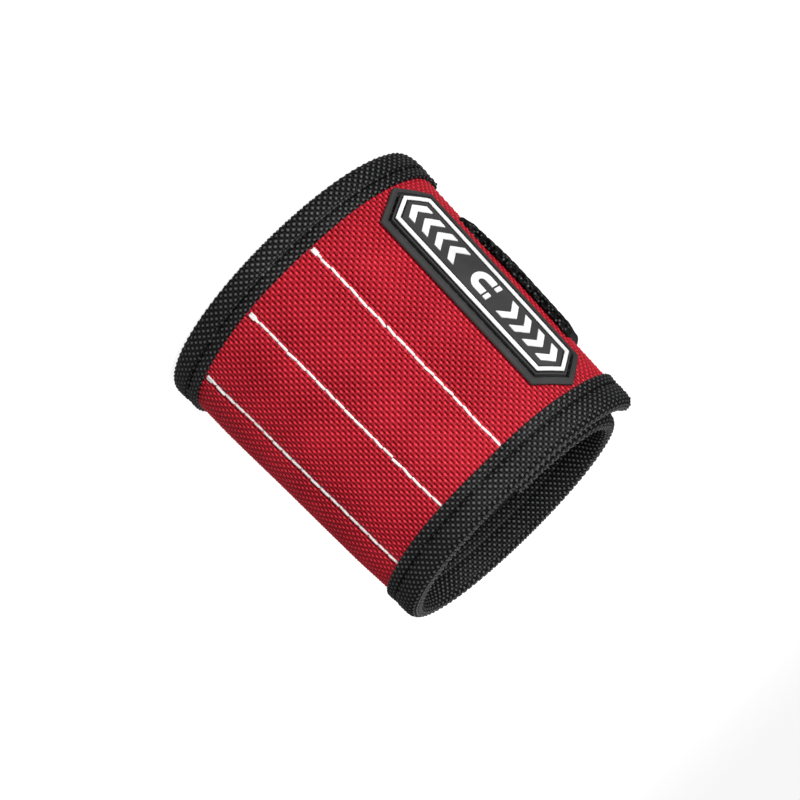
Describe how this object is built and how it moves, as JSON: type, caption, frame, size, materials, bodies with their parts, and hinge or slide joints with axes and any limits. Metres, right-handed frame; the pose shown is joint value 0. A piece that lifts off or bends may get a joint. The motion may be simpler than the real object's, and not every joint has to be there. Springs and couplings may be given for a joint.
{
  "type": "magnetic wristband",
  "caption": "Sewn cuff of red woven nylon for the wrist that holds screws and nails on magnets in sewn pockets, with bound rims, a rubber patch and a hook-and-loop strap.",
  "frame": {"origin": "under the middle of the closed cuff's box, on the surface that its elbow rim stands on", "axes": "+Z along the wrist, towards the hand; -Y is the side that the picture shows; the flap and its patch are on the -X side"},
  "size_m": [0.0864, 0.0622, 0.09],
  "materials": {
    "red_nylon": "coarse plain woven nylon with a soft sheen",
    "padded_lining": "matt knitted mesh on foam",
    "binding_tape": "ribbed woven tape",
    "magnet_plating": "nickel plated",
    "patch_rubber": "matt moulded rubber",
    "patch_border_rubber": "matt moulded rubber",
    "strap_webbing": "dense woven webbing",
    "hook_tape": "fine moulded hooks",
    "loop_pile": "brushed loop pile"
  },
  "bodies": {
    "pocket_2": {"pocket_2_fabric": "red_nylon", "pocket_2_lining": "padded_lining", "pocket_2_elbow_binding": "binding_tape", "pocket_2_hand_binding": "binding_tape", "pocket_2_magnet_1": "magnet_plating", "pocket_2_magnet_2": "magnet_plating", "pocket_2_magnet_3": "magnet_plating"},
    "pocket_1": {"pocket_1_fabric": "red_nylon", "pocket_1_lining": "padded_lining", "pocket_1_elbow_binding": "binding_tape", "pocket_1_hand_binding": "binding_tape", "pocket_1_magnet_1": "magnet_plating", "pocket_1_magnet_2": "magnet_plating", "pocket_1_magnet_3": "magnet_plating"},
    "flap": {"flap_fabric": "red_nylon", "flap_lining": "padded_lining", "flap_elbow_binding": "binding_tape", "flap_hand_binding": "binding_tape", "patch_base": "patch_rubber", "patch_border": "patch_border_rubber", "strap_root": "strap_webbing"},
    "strap": {"strap_web": "strap_webbing", "strap_hook_field": "hook_tape"},
    "pull_tab": {"strap_pull_tab": "strap_webbing"},
    "pocket_3": {"pocket_3_fabric": "red_nylon", "pocket_3_lining": "padded_lining", "pocket_3_elbow_binding": "binding_tape", "pocket_3_hand_binding": "binding_tape", "pocket_3_magnet_1": "magnet_plating", "pocket_3_magnet_2": "magnet_plating", "pocket_3_magnet_3": "magnet_plating"},
    "pocket_4": {"pocket_4_fabric": "red_nylon", "pocket_4_lining": "padded_lining", "pocket_4_elbow_binding": "binding_tape", "pocket_4_hand_binding": "binding_tape", "pocket_4_magnet_1": "magnet_plating", "pocket_4_magnet_2": "magnet_plating", "pocket_4_magnet_3": "magnet_plating"},
    "pocket_5": {"pocket_5_fabric": "red_nylon", "pocket_5_lining": "padded_lining", "pocket_5_elbow_binding": "binding_tape", "pocket_5_hand_binding": "binding_tape", "pocket_5_magnet_1": "magnet_plating", "pocket_5_magnet_2": "magnet_plating", "pocket_5_magnet_3": "magnet_plating"},
    "loop_panel": {"loop_panel_fabric": "red_nylon", "loop_panel_lining": "padded_lining", "loop_panel_elbow_binding": "binding_tape", "loop_panel_hand_binding": "binding_tape", "loop_panel_loop_field": "loop_pile"},
    "end_panel": {"end_panel_fabric": "red_nylon", "end_panel_lining": "padded_lining", "end_panel_elbow_binding": "binding_tape", "end_panel_hand_binding": "binding_tape", "end_panel_end_binding": "binding_tape", "end_panel_loop_field": "loop_pile"}
  },
  "joints": [
    {"name": "band_unwrap", "type": "hinge", "parent": "pocket_2", "child": "pocket_3", "pos_m": [0.03422, -0.01924, 0], "axis": [0.0343, -0.0205, -0.9992], "range_deg": [0, 32]},
    {"name": "fold_line_2", "type": "hinge", "parent": "pocket_2", "child": "pocket_1", "pos_m": [0.01306, -0.02967, 0], "axis": [-0.0119, 0.0315, 0.9994], "range_deg": [-1, 31]},
    {"name": "fold_line_1", "type": "hinge", "parent": "pocket_1", "child": "flap", "pos_m": [-0.01049, -0.03011, 0], "axis": [0.013, 0.032, 0.9994], "range_deg": [-1, 67]},
    {"name": "strap_lift", "type": "hinge", "parent": "flap", "child": "strap", "pos_m": [-0.04411, 0.0034, 0], "axis": [0.0485, -0.0035, 0.9988], "range_deg": [-1, 115]},
    {"name": "tab_lift", "type": "hinge", "parent": "strap", "child": "pull_tab", "pos_m": [-0.01219, 0.02984, 0], "axis": [0.0148, -0.0314, 0.9994], "range_deg": [0, 120]},
    {"name": "fold_line_4", "type": "hinge", "parent": "pocket_3", "child": "pocket_4", "pos_m": [0.04303, 0.00249, 0], "axis": [0.0436, 0.0025, -0.999], "range_deg": [-1, 31]},
    {"name": "fold_line_5", "type": "hinge", "parent": "pocket_4", "child": "pocket_5", "pos_m": [0.02887, 0.02128, 0], "axis": [0.0286, 0.0224, -0.9993], "range_deg": [-1, 27]},
    {"name": "fold_line_6", "type": "hinge", "parent": "pocket_5", "child": "loop_panel", "pos_m": [0.00616, 0.02765, 0], "axis": [0.0046, 0.0291, -0.9996], "range_deg": [-1, 35]},
    {"name": "fold_line_7", "type": "hinge", "parent": "loop_panel", "child": "end_panel", "pos_m": [-0.03285, 0.01138, 0], "axis": [-0.0366, 0.0119, -0.9993], "range_deg": [-1, 53]}
  ],
  "couplings": [
    {"joint": "fold_line_2", "follows": "band_unwrap", "ratio": 0.9375},
    {"joint": "fold_line_1", "follows": "band_unwrap", "ratio": 2.0625},
    {"joint": "strap_lift", "follows": "band_unwrap", "ratio": 3.5625},
    {"joint": "fold_line_4", "follows": "band_unwrap", "ratio": 0.9375},
    {"joint": "fold_line_5", "follows": "band_unwrap", "ratio": 0.8125},
    {"joint": "fold_line_6", "follows": "band_unwrap", "ratio": 1.0625},
    {"joint": "fold_line_7", "follows": "band_unwrap", "ratio": 1.625}
  ]
}
